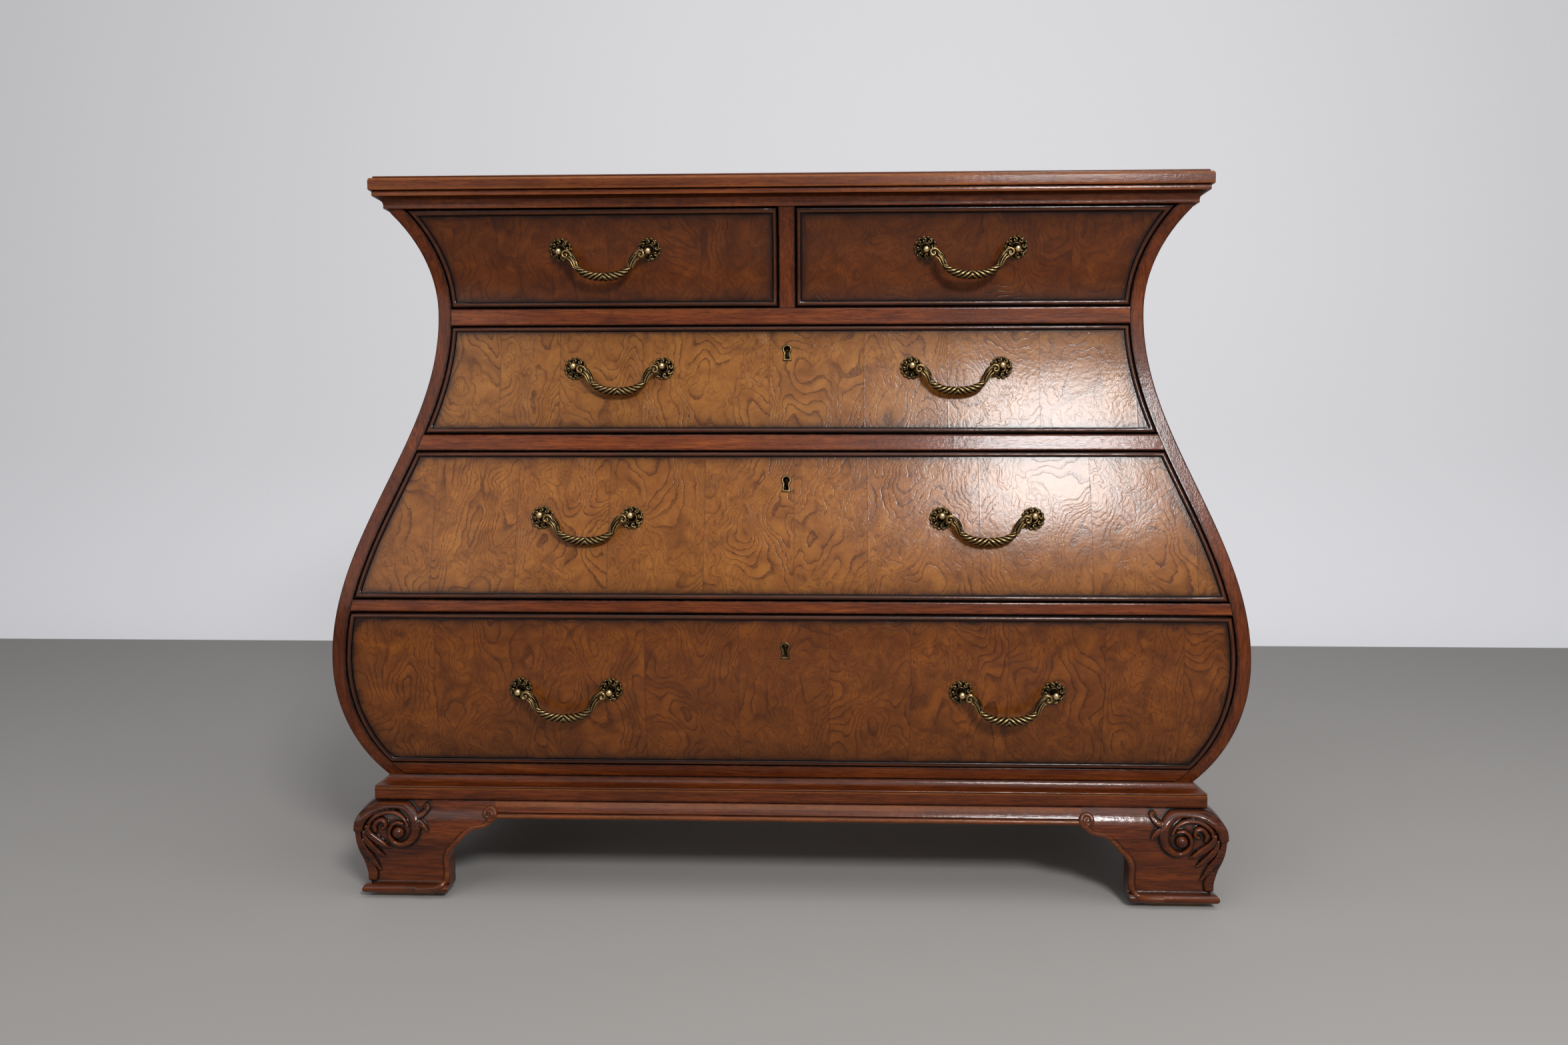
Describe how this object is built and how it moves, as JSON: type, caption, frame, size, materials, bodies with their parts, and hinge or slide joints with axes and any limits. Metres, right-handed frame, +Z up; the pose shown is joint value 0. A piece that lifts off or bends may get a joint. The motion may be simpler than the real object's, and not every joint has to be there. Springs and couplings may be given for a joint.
{
  "type": "bombe chest of drawers",
  "caption": "Bombe chest of drawers with swelling sides and front, moulded top, ogee bracket feet, beaded drawer fronts with locks, and swinging bail pulls",
  "frame": {"origin": "on the floor, in the middle of the chest's outline, its pulls included", "axes": "X runs across the front to the viewer's right, -Y is the way the drawers open, +Z is up"},
  "size_m": [1.192, 0.5798, 0.958],
  "materials": {
    "mahogany": "polished red-brown mahogany",
    "figured_veneer": "polished figured veneer, golden brown",
    "carcase_wood": "plain unpolished secondary wood",
    "antique_brass": "antique brass, dark in its recesses",
    "lock_metal": "plain dull brass"
  },
  "bodies": {
    "carcase": {"top_board": "mahogany", "top_moulding": "mahogany", "front_stile_right": "mahogany", "front_stile_left": "mahogany", "side_panel_right": "mahogany", "side_panel_left": "mahogany", "rear_frame": "carcase_wood", "back_panel": "carcase_wood", "front_rails": "mahogany", "drawer_divider": "mahogany", "web_frames": "carcase_wood", "base_moulding": "mahogany", "apron": "mahogany", "front_foot_right": "mahogany", "front_foot_left": "mahogany", "rear_feet": "mahogany", "glue_blocks": "carcase_wood", "glides": "carcase_wood"},
    "drawer_1_right": {"drawer_1_right_front": "figured_veneer", "drawer_1_right_bead": "mahogany", "drawer_1_right_box": "carcase_wood", "drawer_1_right_plates": "antique_brass", "drawer_1_right_posts": "antique_brass"},
    "drawer_1_right_bail": {"drawer_1_right_bail": "antique_brass"},
    "drawer_1_left": {"drawer_1_left_front": "figured_veneer", "drawer_1_left_bead": "mahogany", "drawer_1_left_box": "carcase_wood", "drawer_1_left_plates": "antique_brass", "drawer_1_left_posts": "antique_brass"},
    "drawer_1_left_bail": {"drawer_1_left_bail": "antique_brass"},
    "drawer_2": {"drawer_2_front": "figured_veneer", "drawer_2_bead": "mahogany", "drawer_2_box": "carcase_wood", "drawer_2_plates": "antique_brass", "drawer_2_posts": "antique_brass", "drawer_2_escutcheon": "antique_brass", "drawer_2_lock": "lock_metal"},
    "drawer_2_bail_left": {"drawer_2_bail_left": "antique_brass"},
    "drawer_2_bail_right": {"drawer_2_bail_right": "antique_brass"},
    "drawer_3": {"drawer_3_front": "figured_veneer", "drawer_3_bead": "mahogany", "drawer_3_box": "carcase_wood", "drawer_3_plates": "antique_brass", "drawer_3_posts": "antique_brass", "drawer_3_escutcheon": "antique_brass", "drawer_3_lock": "lock_metal"},
    "drawer_3_bail_left": {"drawer_3_bail_left": "antique_brass"},
    "drawer_3_bail_right": {"drawer_3_bail_right": "antique_brass"},
    "drawer_4": {"drawer_4_front": "figured_veneer", "drawer_4_bead": "mahogany", "drawer_4_box": "carcase_wood", "drawer_4_plates": "antique_brass", "drawer_4_posts": "antique_brass", "drawer_4_escutcheon": "antique_brass", "drawer_4_lock": "lock_metal"},
    "drawer_4_bail_left": {"drawer_4_bail_left": "antique_brass"},
    "drawer_4_bail_right": {"drawer_4_bail_right": "antique_brass"},
    "drawer_2_bolt": {"drawer_2_bolt": "lock_metal"},
    "drawer_3_bolt": {"drawer_3_bolt": "lock_metal"},
    "drawer_4_bolt": {"drawer_4_bolt": "lock_metal"}
  },
  "joints": [
    {"name": "drawer_1_right_slide", "type": "slide", "parent": "carcase", "child": "drawer_1_right", "axis": [0, -1, 0], "range_m": [0, 0.38]},
    {"name": "drawer_1_left_slide", "type": "slide", "parent": "carcase", "child": "drawer_1_left", "axis": [0, -1, 0], "range_m": [0, 0.38]},
    {"name": "drawer_2_slide", "type": "slide", "parent": "carcase", "child": "drawer_2", "axis": [0, -1, 0], "range_m": [0, 0.38]},
    {"name": "drawer_3_slide", "type": "slide", "parent": "carcase", "child": "drawer_3", "axis": [0, -1, 0], "range_m": [0, 0.38]},
    {"name": "drawer_4_slide", "type": "slide", "parent": "carcase", "child": "drawer_4", "axis": [0, -1, 0], "range_m": [0, 0.38]},
    {"name": "drawer_1_right_bail_swing", "type": "hinge", "parent": "drawer_1_right", "child": "drawer_1_right_bail", "pos_m": [0.2425, -0.21675, 0.86311], "axis": [-1, 0, 0], "range_deg": [-30, 170]},
    {"name": "drawer_1_left_bail_swing", "type": "hinge", "parent": "drawer_1_left", "child": "drawer_1_left_bail", "pos_m": [-0.2425, -0.21675, 0.86311], "axis": [-1, 0, 0], "range_deg": [-30, 170]},
    {"name": "drawer_2_bail_left_swing", "type": "hinge", "parent": "drawer_2", "child": "drawer_2_bail_left", "pos_m": [-0.226, -0.21022, 0.71265], "axis": [-1, 0, 0], "range_deg": [-8, 170]},
    {"name": "drawer_2_bail_right_swing", "type": "hinge", "parent": "drawer_2", "child": "drawer_2_bail_right", "pos_m": [0.226, -0.21022, 0.71265], "axis": [-1, 0, 0], "range_deg": [-8, 170]},
    {"name": "drawer_3_bail_left_swing", "type": "hinge", "parent": "drawer_3", "child": "drawer_3_bail_left", "pos_m": [-0.262, -0.25706, 0.51558], "axis": [-1, 0, 0], "range_deg": [-3, 170]},
    {"name": "drawer_3_bail_right_swing", "type": "hinge", "parent": "drawer_3", "child": "drawer_3_bail_right", "pos_m": [0.262, -0.25706, 0.51558], "axis": [-1, 0, 0], "range_deg": [-3, 170]},
    {"name": "drawer_4_bail_left_swing", "type": "hinge", "parent": "drawer_4", "child": "drawer_4_bail_left", "pos_m": [-0.2865, -0.28448, 0.28759], "axis": [-1, 0, 0], "range_deg": [-24, 170]},
    {"name": "drawer_4_bail_right_swing", "type": "hinge", "parent": "drawer_4", "child": "drawer_4_bail_right", "pos_m": [0.2865, -0.28448, 0.28759], "axis": [-1, 0, 0], "range_deg": [-24, 170]},
    {"name": "drawer_2_bolt_throw", "type": "slide", "parent": "drawer_2", "child": "drawer_2_bolt", "axis": [0, 0, 1], "range_m": [0, 0.009]},
    {"name": "drawer_3_bolt_throw", "type": "slide", "parent": "drawer_3", "child": "drawer_3_bolt", "axis": [0, 0, 1], "range_m": [0, 0.009]},
    {"name": "drawer_4_bolt_throw", "type": "slide", "parent": "drawer_4", "child": "drawer_4_bolt", "axis": [0, 0, 1], "range_m": [0, 0.009]}
  ]
}
